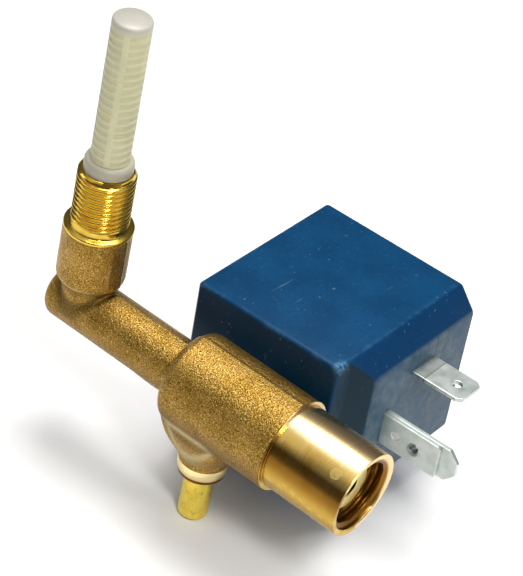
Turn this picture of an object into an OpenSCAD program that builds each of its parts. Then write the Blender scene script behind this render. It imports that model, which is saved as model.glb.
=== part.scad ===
// Small brass solenoid valve: a threaded inlet nipple with a strainer feeds a seat inside
// a forged body; an encapsulated coil on a guide tube lifts a sprung plunger off that seat
// and lets the fluid out through the female port and the spigot.
// +Z runs up the inlet nipple, +X along the body to the female port, +Y along the coil.
// The origin is the centre of the inlet nipple's shoulder.

/* [Body] */
// Height of the nipple's shoulder above the body's axis
axis_drop = 16.9; // [14:0.1:22]
// Distance from the inlet nipple's axis to the valve seat's axis
seat_x = 29.1; // [26:0.1:34]
// Depth of the valve seat's axis below the body's axis
seat_drop = 4.3; // [4:0.1:4.6]
// Distance from the inlet nipple's axis to the end of the female port
port_end = 59.4; // [59:0.1:66]
// Diameter of the arm between the nipple and the valve chamber
arm_d = 9.7; // [9.2:0.1:10.4]
// Diameter of the forged chamber
chamber_d = 16.6; // [16.4:0.1:17]
// Diameter of the machined port end
port_d = 15.1; // [14.8:0.1:15.6]
// Diameter of the forged boss under the nipple
boss_d = 11.7; // [11:0.1:13]

/* [Threads] */
// Outside diameter of the inlet thread
inlet_d = 9.728; // [9.728:0.001:9.728]
// Pitch of the inlet thread
inlet_pitch = 0.907; // [0.907:0.001:0.907]
// Length of the inlet nipple
inlet_len = 11; // [9:0.1:13]
// Diameter of the female port's thread crests
port_bore_d = 11.445; // [11.445:0.001:11.445]
// Pitch of the female port's thread
port_pitch = 1.337; // [1.337:0.001:1.337]

/* [Strainer] */
// Diameter of the strainer's sleeve
strainer_d = 6.5; // [6:0.1:7]
// Height of the strainer's closed top above the nipple's shoulder
strainer_top = 39.6; // [30:0.1:50]

/* [Spigot] */
// Outside diameter of the outlet spigot
spigot_d = 5.2; // [4.8:0.1:6]
// Depth of the spigot's tip below the body's axis
spigot_drop = 26.4; // [22:0.1:32]

/* [Armature] */
// Outside diameter of the guide tube
tube_d = 10; // [10:0.1:10.4]
// Travel of the plunger
stroke = 1.5; // [0.8:0.1:1.5]

/* [Coil] */
// Angle at which the coil stands on its tube
coil_angle = 2.1; // [-30:0.1:30]
// Length of the coil along its tube
coil_len = 34.6; // [34:0.1:40]
// Height of the coil's block
coil_h = 29.5; // [29:0.1:32]
// Width of the tabs
tab_w = 6.3; // [6.3:0.1:6.3]
// Thickness of the tabs
tab_t = 0.8; // [0.8:0.1:0.8]

/* [Hidden] */
$fn = 64;

eps = 0.01;
axis_z = -axis_drop;
seat_z = axis_z - seat_drop;
shoulder_r = boss_d / 2;
thread_band = 1.3;        // plain band between the shoulder and the first thread
boss_len = 11;
neck_r = 4.65;            // between the boss and the arm
chamber_start = 22.4;     // the forged chamber's left end
machined_start = 44.9;    // where the forging ends and the turned port begins
spot_face_y = 7.4;        // machined face that the tube base seats on
chamber_floor_y = -0.6;
seat_y = 1.2;             // the seat's lip, which the plunger's seal closes
feed_y = -4.4;            // the feed drilling's end, under the seat
insert_depth = 3.4;       // from the port's mouth to the insert's face
insert_t = 1.6;
insert_r = 5.5;
insert_hole_d = 3.2;
spigot_ring_z = axis_z - 14.5;
base_len = 5;             // the tube base's threaded shank
base_flange = 1.1;
shank_r = 6;
tube_r = tube_d / 2;
tube_wall = 0.5;
tube_in_r = tube_r - tube_wall;
tube_front = 3;
tube_rear = 38;
plunger_r = tube_in_r - 0.07;
plunger_front = seat_y + 0.3;
core_front = 25;
plunger_rear = core_front - stroke - 0.1;
spring_seat_y = 14.5;
spring_wire = 0.5;
spring_r = 1.65;
spring_turns = 7;
coil_front = 8.8;
coil_rear = coil_front + coil_len;
coil_left = -13.3;        // coil sizes are from the tube's axis
coil_step = 16.1;
coil_right = 19.5;
coil_bore_r = tube_r + 0.06;
yoke_t = 1.8;
yoke_front = coil_front + 1.2;
yoke_rear = coil_rear - 1.2;
yoke_w = 22;
yoke_h = 26.4;
bobbin_front = yoke_front + yoke_t;
bobbin_rear = yoke_rear - yoke_t;
bobbin_r = 6.9;
bobbin_flange_r = 11.2;
bobbin_flange_t = 0.8;
winding_r = 10.9;
sleeve_t = 1;
sleeve_len = 8;
upper_tab_y = 26.7;       // near edge of the upper, level tab
upper_tab_z = 6.3;
upper_tab_out = 9.8;
lower_tab_y = 20.4;       // front face of the lower, upright tab's folded strip
lower_tab_z = 1.2;
lower_tab_out = 14.8;
tab_root = coil_step - 2.6;
tab_hole_r = 0.87;
stud_r = 4;
stud_end = 51;
washer_front = coil_rear + 0.15;
washer_t = 0.8;
spring_washer_t = 1.2;
nut_t = 4.5;
nut_af = 13;

brass = "goldenrod";
turned_brass = "gold";
steel = "silver";

// ---- placing ----

// Turns a shape drawn along +Z so that it runs along +X, at the body's axis
module along_x(x) translate([x, 0, axis_z]) rotate([0, 90, 0]) children();

// Turns a shape drawn along +Z so that it runs along +Y, at the seat's axis
module along_y(y) translate([seat_x, y, seat_z]) rotate([-90, 0, 0]) children();

// Places a coil shape, drawn with the tube's axis at x = z = 0, on the tube
module on_coil() translate([seat_x, 0, seat_z]) rotate([0, -coil_angle, 0]) children();

// A disc and a ring along +Y at the tube's axis, in the coil's own frame
module coil_disc(y, len, r) translate([0, y, 0]) rotate([-90, 0, 0]) cylinder(r = r, h = len);

module coil_ring(y, len, r_out, r_in) difference() {
    coil_disc(y, len, r_out);
    coil_disc(y - eps, len + 2 * eps, r_in);
}

// A drilling of diameter d from point a to point b
module drilling(a, b, d) {
    v = b - a;
    len = norm(v);
    translate(a) rotate([0, acos(v.z / len), atan2(v.y, v.x)]) cylinder(d = d, h = len);
}

// Half section of one V groove per pitch, as points from low to high
function grooves(z0, count, pitch, r, depth, width) =
    [for (i = [0 : count - 1], k = [0 : 2])
        [r + (k == 1 ? depth : 0), z0 + i * pitch + (k - 1) * width / 2]];

// ---- valve body ----

module inlet_nipple() {
    r = inlet_d / 2;
    count = floor((inlet_len - thread_band - 1.1) / inlet_pitch);
    rotate_extrude() polygon(concat(
        [[0, -2], [shoulder_r - 0.9, -2], [shoulder_r - 0.9, -eps], [r, -eps]],
        grooves(thread_band + 0.4, count, inlet_pitch, r, -0.58, 0.72),
        [[r, inlet_len - 0.6], [r - 0.6, inlet_len], [0, inlet_len]]));
}

module inlet_boss() {
    round_r = 1;
    rotate_extrude() union() {
        translate([0, round_r - boss_len]) square([shoulder_r, boss_len - round_r]);
        translate([0, -boss_len]) square([shoulder_r - round_r, boss_len]);
        translate([shoulder_r - round_r, round_r - boss_len]) circle(r = round_r);
    }
    translate([0, 0, axis_z]) cylinder(r = neck_r, h = axis_drop - boss_len + 1);
}

module arm() {
    end_x = -5.85;
    along_x(end_x) round_ended(arm_d / 2, chamber_start + 3 - end_x, 1.8);
}

// A bar along +Z whose lower end has a quarter turn between its face and its side
module round_ended(r, len, round_r) rotate_extrude() union() {
    translate([0, round_r]) square([r, len - round_r]);
    square([r - round_r, len]);
    translate([r - round_r, round_r]) circle(r = round_r);
}

module chamber() {
    along_x(chamber_start) round_ended(chamber_d / 2, machined_start - chamber_start, 2);
    along_y(-5.5) round_ended(chamber_d / 2, spot_face_y + 5.5, 3);
    spigot_boss_top = seat_z;
    translate([seat_x, 0, spigot_ring_z])
        cylinder(r1 = 4.4, r2 = 8.1, h = spigot_boss_top - spigot_ring_z);
}

module port_tube() {
    r = port_d / 2;
    len = port_end - machined_start;
    along_x(machined_start - 1) rotate_extrude()
        polygon([[0, 0], [r, 0], [r, len + 0.75], [r - 0.25, len + 1], [0, len + 1]]);
}

module port_cavity() {
    r = port_bore_d / 2;
    mouth = 0.93;
    len = insert_depth + insert_t;
    along_x(port_end - len) rotate_extrude() polygon(concat(
        [[0, 0], [insert_r, 0], [insert_r, insert_t], [r, insert_t]],
        grooves(insert_t + 0.6, 2, port_pitch, r, 0.72, 0.96),
        [[r, len - mouth], [r + mouth, len], [r + mouth, len + 1], [0, len + 1]]));
    along_x(seat_x + 4) cylinder(r = 3.25, h = port_end - seat_x - 8);
}

module inlet_cavity() {
    translate([0, 0, -4]) cylinder(d = 5.2, h = 5 + inlet_len);
    translate([0, 0, axis_z - 1.6]) cylinder(d = 3.2, h = axis_drop);
    translate([0, 0, inlet_len - 3]) cylinder(d = 6.6, h = 3 + eps);
    arm_y = -1.5;
    translate([0, arm_y, 0]) along_x(0) cylinder(d = 3.2, h = 21.5);
    drilling([21.5, arm_y, axis_z], [seat_x, feed_y, seat_z], 2.2);
    along_y(feed_y) cylinder(d = 2, h = seat_y - feed_y + 1);
}

module armature_cavity() {
    // the chamber, the thread for the tube base, the seal's recess and the spot face
    along_y(chamber_floor_y) cylinder(r = 5.45, h = 12);
    along_y(spot_face_y - base_len) cylinder(r = shank_r, h = 12);
    along_y(spot_face_y - 0.8) cylinder(r = 7, h = 12);
    along_y(spot_face_y) cylinder(r = chamber_d / 2 + 0.1, h = 4);
}

module valve_body() color(brass) {
    difference() {
        union() {
            inlet_nipple();
            inlet_boss();
            arm();
            chamber();
            port_tube();
        }
        inlet_cavity();
        armature_cavity();
        port_cavity();
        translate([seat_x, 0, spigot_ring_z - 1]) cylinder(d = 3.4, h = 8.5);
        translate([seat_x, 0, spigot_ring_z - eps]) cylinder(d = 4.4, h = 4);
        staking_hole();
    }
    // the seat's raised lip
    along_y(chamber_floor_y - eps) difference() {
        cylinder(r1 = 2.6, r2 = 1.7, h = seat_y - chamber_floor_y);
        translate([0, 0, -eps]) cylinder(d = 2, h = 3);
    }
}

// ---- inlet strainer ----

module strainer_bars(r_out, r_in) {
    z0 = inlet_len + 2;
    for (a = [0 : 90 : 270]) rotate([0, 0, a + 20])
        translate([r_in, -0.5, z0]) cube([r_out - r_in, 1, strainer_top - z0 - 1]);
}

module inlet_strainer_frame() color("ivory") {
    r = strainer_d / 2;
    collar_r = 4.1;
    ring_pitch = 1.4;
    rings = floor((strainer_top - inlet_len - 3.4) / ring_pitch);
    rotate_extrude() difference() {
        union() {
            translate([0, inlet_len - 3]) square([3.25, 4]);
            translate([0, inlet_len]) square([collar_r, 2.2]);
            translate([0, strainer_top - 1.2]) square([r, 1.2]);
        }
        translate([-eps, inlet_len - 4]) square([2.5 + eps, 6.2 + eps]);
    }
    rotate_extrude() for (i = [1 : rings])
        translate([r - 0.45, inlet_len + 2.2 + i * ring_pitch - 0.35]) square([0.45, 0.5]);
    strainer_bars(r - 0.1, r - 0.4);
}

module inlet_strainer_mesh() color("khaki") {
    r = strainer_d / 2 - 0.45;
    translate([0, 0, inlet_len + 2.2]) difference() {
        cylinder(r = r, h = strainer_top - inlet_len - 3.4);
        translate([0, 0, -eps]) cylinder(r = r - 0.3, h = strainer_top);
    }
}

// ---- ports ----

module outlet_spigot() color(turned_brass) {
    z1 = axis_z - spigot_drop;
    r = spigot_d / 2;
    ring_h = 2.2;
    translate([seat_x, 0, 0]) difference() {
        rotate_extrude() {
            polygon([[0, z1], [r - 0.8, z1], [r, z1 + 0.8], [r, spigot_ring_z - ring_h],
                     [3.5, spigot_ring_z - ring_h], [4.1, spigot_ring_z - ring_h + 0.6],
                     [4.4, spigot_ring_z], [2.2, spigot_ring_z], [2.2, spigot_ring_z + 3.9],
                     [0, spigot_ring_z + 3.9]]);
        }
        translate([0, 0, z1 - 1]) cylinder(d = 3.4, h = spigot_drop);
    }
}

module port_insert() color("peru") along_x(port_end - insert_depth - insert_t) difference() {
    cylinder(r = insert_r, h = insert_t);
    translate([0, 0, -1]) cylinder(d = insert_hole_d, h = insert_t + 2);
}

// A small blind hole in the side of the port's wall, filled by a flush pin
module staking_hole() translate([port_end - 3.1, 0, axis_z]) rotate([41, 0, 0])
    translate([0, 0, 6.5]) cylinder(d = 1.9, h = 3);

module staking_pin() color(turned_brass) intersection() {
    staking_hole();
    along_x(machined_start) cylinder(d = port_d, h = port_end - machined_start);
}

// ---- armature ----

module tube_base() color(steel) difference() {
    union() {
        along_y(spot_face_y - base_len) cylinder(r = shank_r, h = base_len + eps);
        along_y(spot_face_y) cylinder(d = 16.1, h = base_flange, $fn = 6);
    }
    along_y(0) cylinder(r = tube_in_r + 0.05, h = 20);
    along_y(tube_front) cylinder(r = tube_r, h = 20);
}

module base_seal() color("black") along_y(spot_face_y - 0.4) rotate_extrude()
    translate([6.5, 0]) circle(r = 0.38);

module guide_tube() color(steel) along_y(tube_front) difference() {
    cylinder(r = tube_r, h = tube_rear - tube_front);
    translate([0, 0, -eps]) cylinder(r = tube_in_r, h = tube_rear);
}

module fixed_core() color("lightgray") along_y(core_front) difference() {
    union() {
        cylinder(r = tube_in_r, h = tube_rear - core_front + eps);
        translate([0, 0, tube_rear - core_front]) cylinder(r = tube_r, h = coil_rear - tube_rear);
        translate([0, 0, coil_rear - core_front - eps])
            cylinder(r = stud_r, h = stud_end - coil_rear - 0.5);
        translate([0, 0, stud_end - core_front - 0.5 - 2 * eps])
            cylinder(r1 = stud_r, r2 = stud_r - 0.5, h = 0.5);
    }
    translate([0, 0, -1]) shading_groove(2.25);
}

module shading_groove(depth) difference() {
    cylinder(r = 3.9, h = depth);
    translate([0, 0, -eps]) cylinder(r = 3.1, h = depth + 1);
}

module shading_ring() color("chocolate") along_y(core_front) shading_groove(1.2);

module plunger() color("gray") along_y(plunger_front) difference() {
    len = plunger_rear - plunger_front;
    union() {
        cylinder(r = plunger_r - 0.6, h = 1);
        translate([0, 0, 1]) cylinder(r = plunger_r, h = len - 1);
    }
    translate([0, 0, -eps]) cylinder(r = 3, h = 1.7 + eps);
    translate([0, 0, spring_seat_y - plunger_front]) cylinder(r = 2.2, h = len);
    for (side = [-1, 1]) translate([side * (plunger_r - 0.3) - 0.5, -0.6, -1])
        cube([1, 1.2, len + 2]);
}

module plunger_seal() color("darkslategray") along_y(seat_y)
    cylinder(r = 3, h = plunger_front + 1.7 - seat_y);

// The spring's turns, drawn as one closed ring each and joined by short upright links
module return_spring() color(steel) along_y(spring_seat_y) {
    free = core_front - spring_seat_y - spring_wire;
    for (i = [0 : spring_turns]) translate([0, 0, spring_wire / 2 + i * free / spring_turns])
        rotate_extrude() translate([spring_r, 0]) circle(d = spring_wire);
    translate([spring_r, 0, spring_wire / 2]) cylinder(d = spring_wire * 0.8, h = free);
}

// ---- coil ----

module coil_block() {
    outline = [[coil_left, coil_front], [coil_step, coil_front], [coil_step, coil_front + 3],
               [coil_right, coil_front + 7.1], [coil_right, coil_rear], [coil_left, coil_rear]];
    bevel = 4.1;
    difference() {
        translate([0, 0, -coil_h / 2]) linear_extrude(coil_h) polygon(outline);
        translate([0, coil_front - 1, 0]) rotate([-90, 0, 0]) linear_extrude(coil_len + 2)
            polygon([[coil_step, -coil_h / 2 - eps], [coil_right + eps, -coil_h / 2 - eps],
                     [coil_right + eps, bevel - coil_h / 2]]);
    }
}

module coil_casing() color("steelblue") on_coil() difference() {
    coil_block();
    coil_disc(0, 60, coil_bore_r);
    // the moulding fills everything that the coil's inner pieces leave
    yoke_shape();
    rear_plate_shape();
    coil_disc(bobbin_front, bobbin_rear - bobbin_front, bobbin_r);
    for (y = [bobbin_front, bobbin_rear - bobbin_flange_t])
        coil_disc(y, bobbin_flange_t, bobbin_flange_r);
    coil_disc(bobbin_front, bobbin_rear - bobbin_front, winding_r);
    upper_blank();
    lower_blank();
    lead_shape(upper_tab_y + tab_w / 2, upper_tab_z);
    lead_shape(lower_tab_y + 1.5 * tab_t, lower_tab_z - tab_w + 1.5);
}

module bobbin() color("dimgray") on_coil() difference() {
    union() {
        coil_ring(bobbin_front, bobbin_rear - bobbin_front, bobbin_r, coil_bore_r);
        for (y = [bobbin_front, bobbin_rear - bobbin_flange_t])
            coil_ring(y, bobbin_flange_t, bobbin_flange_r, coil_bore_r);
    }
    coil_disc(bobbin_front - eps, sleeve_len + eps, coil_bore_r + sleeve_t);
    coil_disc(bobbin_rear - sleeve_len, sleeve_len + eps, coil_bore_r + sleeve_t);
}

module coil_winding() color("chocolate") on_coil() coil_ring(bobbin_front + bobbin_flange_t,
    bobbin_rear - bobbin_front - 2 * bobbin_flange_t, winding_r - 0.03, bobbin_r);

module yoke_shape() difference() {
    translate([-yoke_w / 2, yoke_front, -yoke_h / 2]) cube([yoke_w, yoke_rear - yoke_front, yoke_h]);
    translate([-yoke_w, yoke_front + yoke_t, yoke_t - yoke_h / 2])
        cube([2 * yoke_w, coil_len, yoke_h - 2 * yoke_t]);
    coil_disc(0, 60, coil_bore_r);
}

module rear_plate_shape() difference() {
    translate([-yoke_w / 2, yoke_rear - yoke_t, yoke_t - yoke_h / 2])
        cube([yoke_w, yoke_t, yoke_h - 2 * yoke_t]);
    coil_disc(0, 60, coil_bore_r);
}

module yoke_frame() color("slategray") on_coil() yoke_shape();

module yoke_plate() color("lightslategray") on_coil() rear_plate_shape();

module front_flux_sleeve() color("slategray") on_coil()
    coil_ring(bobbin_front, sleeve_len, coil_bore_r + sleeve_t, coil_bore_r);

module rear_flux_sleeve() color("slategray") on_coil()
    coil_ring(bobbin_rear - sleeve_len, sleeve_len, coil_bore_r + sleeve_t, coil_bore_r);

// A tab's flat outline along +X from its root, with a bevelled tip
module tab_outline(len, w, tip) polygon([[0, 0], [len - tip, 0], [len, tip * 0.7],
    [len, w - tip * 0.7], [len - tip, w], [0, w]]);

module upper_blank() translate([tab_root, upper_tab_y, upper_tab_z - tab_t / 2])
    linear_extrude(tab_t) tab_outline(coil_right + upper_tab_out - tab_root, tab_w, 1);

module lower_blank() translate([tab_root, lower_tab_y + 2 * tab_t, lower_tab_z - tab_w])
    rotate([90, 0, 0]) linear_extrude(tab_t)
        tab_outline(coil_right + lower_tab_out - tab_root, tab_w, 1);

module upper_tab() color(steel) on_coil() difference() {
    upper_blank();
    translate([coil_right + 6.9, upper_tab_y + tab_w / 2, upper_tab_z - 2])
        cylinder(r = tab_hole_r, h = 4);
}

module lower_tab() color(steel) on_coil() difference() {
    union() {
        lower_blank();
        // the strip is folded back on itself in front of the blade
        translate([coil_right, lower_tab_y, lower_tab_z - tab_w])
            cube([lower_tab_out - 3, tab_t, tab_w]);
    }
    translate([coil_right + 5.6, 0, lower_tab_z - tab_w / 2]) rotate([-90, 0, 0])
        cylinder(r = tab_hole_r, h = 40);
}

module lead_shape(y, z) {
    x0 = sqrt(winding_r * winding_r - z * z);
    translate([x0, y, z]) rotate([0, 90, 0]) cylinder(r = 0.35, h = tab_root - x0);
}

module lead(y, z) difference() {
    lead_shape(y, z);
    coil_disc(0, 60, winding_r);
}

module upper_lead() color("chocolate") on_coil() lead(upper_tab_y + tab_w / 2, upper_tab_z);

module lower_lead() color("chocolate") on_coil()
    lead(lower_tab_y + 1.5 * tab_t, lower_tab_z - tab_w + 1.5);

// ---- coil fastening ----

module flat_washer() color(steel) along_y(washer_front) difference() {
    cylinder(r = 7.5, h = washer_t);
    translate([0, 0, -eps]) cylinder(r = stud_r + 0.15, h = 3);
}

module spring_washer() color("gray") along_y(washer_front + washer_t) difference() {
    cylinder(r = 6.4, h = spring_washer_t);
    translate([0, 0, -eps]) cylinder(r = stud_r + 0.15, h = 3);
    translate([0, -0.5, -eps]) rotate([0, 0, 10]) cube([8, 1, 3]);
}

module coil_nut() color(steel) along_y(washer_front + washer_t + spring_washer_t) difference() {
    intersection() {
        cylinder(d = nut_af / cos(30), h = nut_t, $fn = 6);
        union() {
            cylinder(r1 = nut_af / 2, r2 = nut_af / 2 + 1.05, h = 0.6);
            translate([0, 0, 0.6 - eps]) cylinder(r = nut_af / 2 + 1.05, h = nut_t - 1.2 + 2 * eps);
            translate([0, 0, nut_t - 0.6]) cylinder(r1 = nut_af / 2 + 1.05, r2 = nut_af / 2, h = 0.6);
        }
    }
    translate([0, 0, -eps]) cylinder(r = stud_r, h = nut_t + 1);
}

valve_body();
inlet_strainer_frame();
inlet_strainer_mesh();
outlet_spigot();
port_insert();
staking_pin();
tube_base();
base_seal();
guide_tube();
fixed_core();
shading_ring();
plunger();
plunger_seal();
return_spring();
coil_casing();
bobbin();
coil_winding();
yoke_frame();
yoke_plate();
front_flux_sleeve();
rear_flux_sleeve();
upper_tab();
lower_tab();
upper_lead();
lower_lead();
flat_washer();
spring_washer();
coil_nut();
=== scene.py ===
"""Looks for a small brass solenoid valve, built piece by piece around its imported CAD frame."""

import math

import bmesh
import bpy
from mathutils import Euler, Matrix, Vector


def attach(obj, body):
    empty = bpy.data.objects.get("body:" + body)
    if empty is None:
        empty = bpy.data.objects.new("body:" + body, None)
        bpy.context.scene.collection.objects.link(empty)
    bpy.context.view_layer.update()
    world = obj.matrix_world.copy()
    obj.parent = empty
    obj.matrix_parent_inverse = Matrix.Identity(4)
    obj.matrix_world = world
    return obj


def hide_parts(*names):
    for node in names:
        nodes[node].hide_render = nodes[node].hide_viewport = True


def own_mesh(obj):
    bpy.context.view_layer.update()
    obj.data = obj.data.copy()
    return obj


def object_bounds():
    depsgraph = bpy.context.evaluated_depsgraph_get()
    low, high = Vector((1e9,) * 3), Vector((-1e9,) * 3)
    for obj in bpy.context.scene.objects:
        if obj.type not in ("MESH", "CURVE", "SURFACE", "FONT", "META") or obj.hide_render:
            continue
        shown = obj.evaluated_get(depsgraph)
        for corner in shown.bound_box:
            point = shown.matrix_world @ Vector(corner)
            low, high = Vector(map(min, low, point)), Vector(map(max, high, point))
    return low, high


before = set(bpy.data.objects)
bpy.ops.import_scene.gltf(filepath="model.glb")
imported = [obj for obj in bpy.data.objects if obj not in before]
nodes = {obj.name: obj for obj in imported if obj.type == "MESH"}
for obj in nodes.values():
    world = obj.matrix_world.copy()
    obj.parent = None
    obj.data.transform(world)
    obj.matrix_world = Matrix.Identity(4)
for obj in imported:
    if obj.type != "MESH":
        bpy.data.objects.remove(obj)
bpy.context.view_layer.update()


# ---- Camera ----
# It stands in front of the valve and to the right, looks down by 38 degrees, and leans by
# 13 degrees, so that the inlet nipple points up and the female port down to the right.
MM = 0.001
AZIMUTH, ELEVATION, LEAN = (math.radians(a) for a in (31.68, 38.3, 12.71))
AIM = Vector((26.58, 10.05, -1.53)) * MM
STANDOFF = 385 * MM
camera = bpy.data.objects.new("camera", bpy.data.cameras.new("camera"))
bpy.context.scene.collection.objects.link(camera)
camera.data.lens = 150.2
camera.data.clip_start = 0.02
level = Euler((math.pi / 2 - ELEVATION, 0, AZIMUTH)).to_matrix()
turn = (level @ Matrix.Rotation(LEAN, 3, "Z")).to_4x4()
camera.matrix_world = Matrix.Translation(AIM) @ turn @ Matrix.Translation((0, 0, STANDOFF))
bpy.context.scene.camera = camera


# ---- Floor and studio lights ----
# A pale matt sheet just under the outlet spigot, and a dark sky that is bright at the top, with
# a pale card at the front left. Four soft boxes: a large one overhead and behind, a wide one on
# the port's side, a weak one low on the left, and a small one at the front right.
class Wire:
    """One socket of a node tree. Arithmetic on it adds Math nodes; make() adds any node."""

    def __init__(self, tree, socket=None):
        self.tree, self.socket = tree, socket

    def make(self, kind, inputs=None, out=0, stops=None, **settings):
        node = self.tree.nodes.new(kind)
        for name, value in settings.items():
            setattr(node, name, value)
        for i, (position, colour) in enumerate(stops or ()):
            marks = node.color_ramp.elements
            mark = marks[i] if i < 2 else marks.new(position)
            mark.position, mark.color = position, (*colour, 1)
        for key, value in (inputs or {}).items():
            if isinstance(value, Wire):
                self.tree.links.new(value.socket, node.inputs[key])
            else:
                node.inputs[key].default_value = value
        return Wire(self.tree, node.outputs[out])

    def out(self, name):
        """Another output of the node that this wire comes from."""
        return Wire(self.tree, self.socket.node.outputs[name])

    def math(self, operation, *values):
        return self.make("ShaderNodeMath", dict(enumerate(values)), operation=operation)

    def __add__(self, other):
        return self.math("ADD", self, other)

    def __sub__(self, other):
        return self.math("SUBTRACT", self, other)

    def __rsub__(self, other):
        return self.math("SUBTRACT", other, self)

    def __mul__(self, other):
        return self.math("MULTIPLY", self, other)

    def __truediv__(self, other):
        return self.math("DIVIDE", self, other)

    def __rtruediv__(self, other):
        return self.math("DIVIDE", other, self)

    def __abs__(self):
        return self.math("ABSOLUTE", self)

    __radd__, __rmul__ = __add__, __mul__

    def top(self, other):
        return self.math("MAXIMUM", self, other)

    def low(self, other):
        return self.math("MINIMUM", self, other)

    def step(self, start, end):
        """0 before start and 1 after end, with a smooth rise between."""
        return self.make("ShaderNodeMapRange", {0: self, 1: start, 2: end},
                         interpolation_type="SMOOTHSTEP")

    def axes(self):
        split = self.make("ShaderNodeSeparateXYZ", {0: self})
        return split, split.out("Y"), split.out("Z")

    def mix(self, first, second):
        """A colour between two colours, with this wire as the factor."""
        ends = {6: first, 7: second}
        for key, colour in ends.items():
            ends[key] = colour if isinstance(colour, Wire) else (*colour, 1)
        return self.make("ShaderNodeMix", {0: self, **ends}, 2, data_type="RGBA")

    def noise(self, scale, detail=3.0, rough=0.55):
        """Fractal noise from 0 to 1 at this place, with `scale` features to a metre."""
        return self.make("ShaderNodeTexNoise", {"Vector": self, "Scale": scale,
                                                "Detail": detail, "Roughness": rough})

    def stretch(self, x, y, z):
        """This place scaled along each axis. Below 1, a pattern on it is drawn out that way."""
        return self.make("ShaderNodeMapping", {0: self, 3: (x, y, z)})


def new_finish(name):
    """A Principled material, and a wire of its surface's places in the object."""
    finish = bpy.data.materials.new(name)
    finish.use_nodes = True
    tree = finish.node_tree
    return finish, Wire(tree).make("ShaderNodeTexCoord", {}, "Object")


def coat(place, fixed=None, bumps=(), **varied):
    """Sets the shader of this place's tree. A bump is (height, strength, distance in mm)."""
    shader = place.tree.nodes["Principled BSDF"]
    for name, value in (fixed or {}).items():
        shader.inputs[name].default_value = value
    for name, wire in varied.items():
        place.tree.links.new(wire.socket, shader.inputs[name.replace("_", " ")])
    normal = None
    for height, strength, distance in bumps:
        inputs = {"Height": height, "Strength": strength, "Distance": distance * MM}
        if normal:
            inputs["Normal"] = normal
        normal = place.make("ShaderNodeBump", inputs)
    if normal:
        place.tree.links.new(normal.socket, shader.inputs["Normal"])


def soft_box(name, spot, size, power, tint=(1, 1, 1)):
    """A square area lamp at spot, in mm, that faces the valve."""
    lamp = bpy.data.lights.new(name, "AREA")
    lamp.size, lamp.energy, lamp.color = size * MM, power, tint
    box = bpy.data.objects.new(name, lamp)
    bpy.context.scene.collection.objects.link(box)
    spot = Vector(spot) * MM
    box.location = spot
    box.rotation_euler = (spot - AIM).to_track_quat("Z", "Y").to_euler()


FLOOR_HALF, FLOOR_GAP = 1.5, 0.0002    # metres
floor_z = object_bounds()[0].z - FLOOR_GAP
sheet = bpy.data.meshes.new("floor")
sheet.from_pydata([(x, y, floor_z) for x, y in ((-1, -1), (1, -1), (1, 1), (-1, 1))],
                  [], [(0, 1, 2, 3)])
sheet.transform(Matrix.Diagonal((FLOOR_HALF, FLOOR_HALF, 1, 1)))
floor = bpy.data.objects.new("floor", sheet)
bpy.context.scene.collection.objects.link(floor)
paper, place = new_finish("pale_paper")
coat(place, {"Specular IOR Level": 0.2},
     Base_Color=place.noise(300).mix((0.87, 0.87, 0.865), (0.90, 0.90, 0.895)),
     Roughness=place.noise(40) * 0.1 + 0.8)
sheet.materials.append(paper)

soft_box("overhead", (-20, 90, 460), 230, 2.1, (1, 0.985, 0.97))
soft_box("port_side", (420, 60, 190), 300, 0.33)
soft_box("low_left", (-330, -160, 190), 150, 0.12)
soft_box("front_right", (230, -150, 300), 75, 0.75)

world = bpy.data.worlds.new("studio")
world.use_nodes = True
bpy.context.scene.world = world
bpy.context.scene.view_settings.view_transform = "Standard"
sky = Wire(world.node_tree)
ray = sky.make("ShaderNodeTexCoord", {}, "Generated")
height = ray.axes()[2]
shades = [(0.0, (0.10, 0.10, 0.11)), (0.5, (0.12, 0.12, 0.13)), (0.62, (0.10, 0.10, 0.105)),
          (0.86, (0.14, 0.14, 0.15)), (0.93, (0.6, 0.6, 0.6)), (1.0, (0.9, 0.9, 0.9))]
glow = height.make("ShaderNodeValToRGB", {0: height * 0.5 + 0.5}, stops=shades)
TO_CARD = (-0.42, -0.52, 0.745)
card = ray.make("ShaderNodeVectorMath", {0: ray, 1: TO_CARD}, 1, operation="DOT_PRODUCT")
card = card.step(0.94, 0.985)
glow = card.mix(glow, (0.75, 0.72, 0.60))
world.node_tree.links.new(glow.socket, world.node_tree.nodes["Background"].inputs["Color"])
world.node_tree.nodes["Background"].inputs["Strength"].default_value = 1.0


# ---- Body forging ----
# A hot-forged brass body, sand-blasted and left matt: a round arm with the inlet boss on it,
# the valve chamber with the coil's boss across it, and the cone down to the spigot. The dies
# met on a line along the top of the arm and the chamber. The ends are machined later.
AXIS_Z = -16.9                         # mm, the arm's and the port's axis
SEAT_X, SEAT_Z = 29.1, -21.2           # the coil's axis
ARM_END, CHAMBER_START, PORT_START = -5.85, 22.4, 44.8    # along x
SHOULDER_Z, BOSS_BOTTOM, CONE_END = -0.6, -11, -30.7
NECK_R, BORE_R, PASSAGE_R = 4.65, 3.25, 1.6
SPIGOT_BORE_R, SPIGOT_PRESS_R = 1.7, 2.2


def new_tree(name, *sizes):
    """A Geometry Nodes tree with a float input for each size. Returns it and its wires."""
    tree = bpy.data.node_groups.new(name, "GeometryNodeTree")
    tree.interface.new_socket("Mesh", in_out="INPUT", socket_type="NodeSocketGeometry")
    for size in sizes:
        tree.interface.new_socket(size, in_out="INPUT", socket_type="NodeSocketFloat")
    tree.interface.new_socket("Mesh", in_out="OUTPUT", socket_type="NodeSocketGeometry")
    start = tree.nodes.new("NodeGroupInput")
    return tree, [Wire(tree, socket) for socket in start.outputs[: len(sizes) + 1]]


def link_up(name, mesh, finish):
    piece = bpy.data.objects.new(name, mesh)
    bpy.context.scene.collection.objects.link(piece)
    mesh.materials.clear()
    mesh.materials.append(finish)
    return piece


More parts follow.
